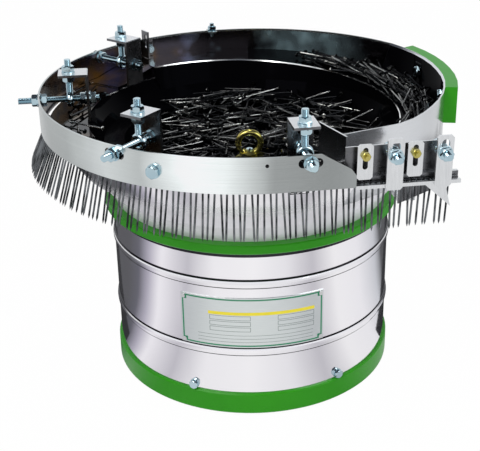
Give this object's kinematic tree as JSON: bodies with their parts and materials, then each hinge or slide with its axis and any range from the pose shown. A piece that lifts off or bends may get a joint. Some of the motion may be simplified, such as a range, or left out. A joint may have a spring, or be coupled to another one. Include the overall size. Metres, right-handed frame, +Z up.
{
  "type": "vibratory bowl feeder",
  "caption": "Vibratory bowl feeder with a spring-mounted stainless bowl whose slotted rim hangs nails by their heads and leads them to a straight outlet.",
  "frame": {"origin": "centre of the three foot holes, on the surface that the feet stand on", "axes": "+Z up, -Y to the front with the nameplate, +X to the outlet's side"},
  "size_m": [0.5323, 0.5196, 0.406],
  "materials": {
    "green_paint": "gloss",
    "foot_rubber": "matte",
    "polished_stainless": "polished",
    "zinc_plate": "satin",
    "plate_aluminium": "satin",
    "black_plastic": "matte",
    "spring_steel": "satin",
    "dark_steel": "satin",
    "coil_winding": "satin",
    "yellow_zinc": "satin",
    "brushed_stainless": "satin",
    "nail_steel": "satin"
  },
  "bodies": {
    "base": {"base_casting": "green_paint", "rubber_feet": "foot_rubber", "cover_drum": "polished_stainless", "cover_screws": "zinc_plate", "nameplate": "plate_aluminium", "nameplate_rivets": "plate_aluminium", "cable_gland": "black_plastic", "spring_pack_1": "spring_steel", "spring_pack_2": "spring_steel", "spring_pack_3": "spring_steel", "lower_spring_bolts": "zinc_plate", "magnet_bracket": "dark_steel", "magnet_core": "dark_steel", "magnet_coil": "coil_winding", "magnet_bolts": "zinc_plate", "core_bolts": "zinc_plate"},
    "bowl": {"top_plate": "green_paint", "upper_spring_bolts": "zinc_plate", "armature_plate": "dark_steel", "armature_bolts": "dark_steel", "centre_stud": "zinc_plate", "centre_washer": "yellow_zinc", "eye_nut": "yellow_zinc", "bowl_shell": "polished_stainless", "spiral_track": "polished_stainless", "top_track": "polished_stainless", "slot_ledge": "polished_stainless", "rim_skirt": "polished_stainless", "drop_ramp": "polished_stainless", "rim_band": "brushed_stainless", "slot_rail": "brushed_stainless", "band_lugs": "brushed_stainless", "band_screws": "zinc_plate", "guard_wall": "polished_stainless", "end_baffle": "polished_stainless", "counterweight": "green_paint", "counterweight_screws": "zinc_plate", "cross_studs": "zinc_plate", "eye_bolts": "zinc_plate", "wiper_blades": "brushed_stainless", "wiper_nuts": "zinc_plate", "wiper_washers": "zinc_plate", "gate_plate": "brushed_stainless", "gate_screw": "zinc_plate", "rim_strap": "brushed_stainless", "strap_bolt": "zinc_plate", "inner_rail": "brushed_stainless", "outer_rail": "brushed_stainless", "outlet_back_plate": "brushed_stainless", "outlet_stay": "brushed_stainless", "holder_plates": "brushed_stainless", "slotted_gates": "brushed_stainless", "outlet_studs": "zinc_plate", "outlet_nuts": "zinc_plate", "gate_screws": "yellow_zinc", "outlet_gusset": "brushed_stainless", "hanging_nails": "nail_steel", "loose_nails": "nail_steel"}
  },
  "joints": [
    {"name": "bowl_twist", "type": "hinge", "parent": "base", "child": "bowl", "pos_m": [0, 0, 0.2], "axis": [0, 0, 1], "range_deg": [-0.4, 0.4], "stiffness_Nm_per_rad": 2000, "deforming": ["spring_pack_1", "spring_pack_2", "spring_pack_3"]}
  ]
}
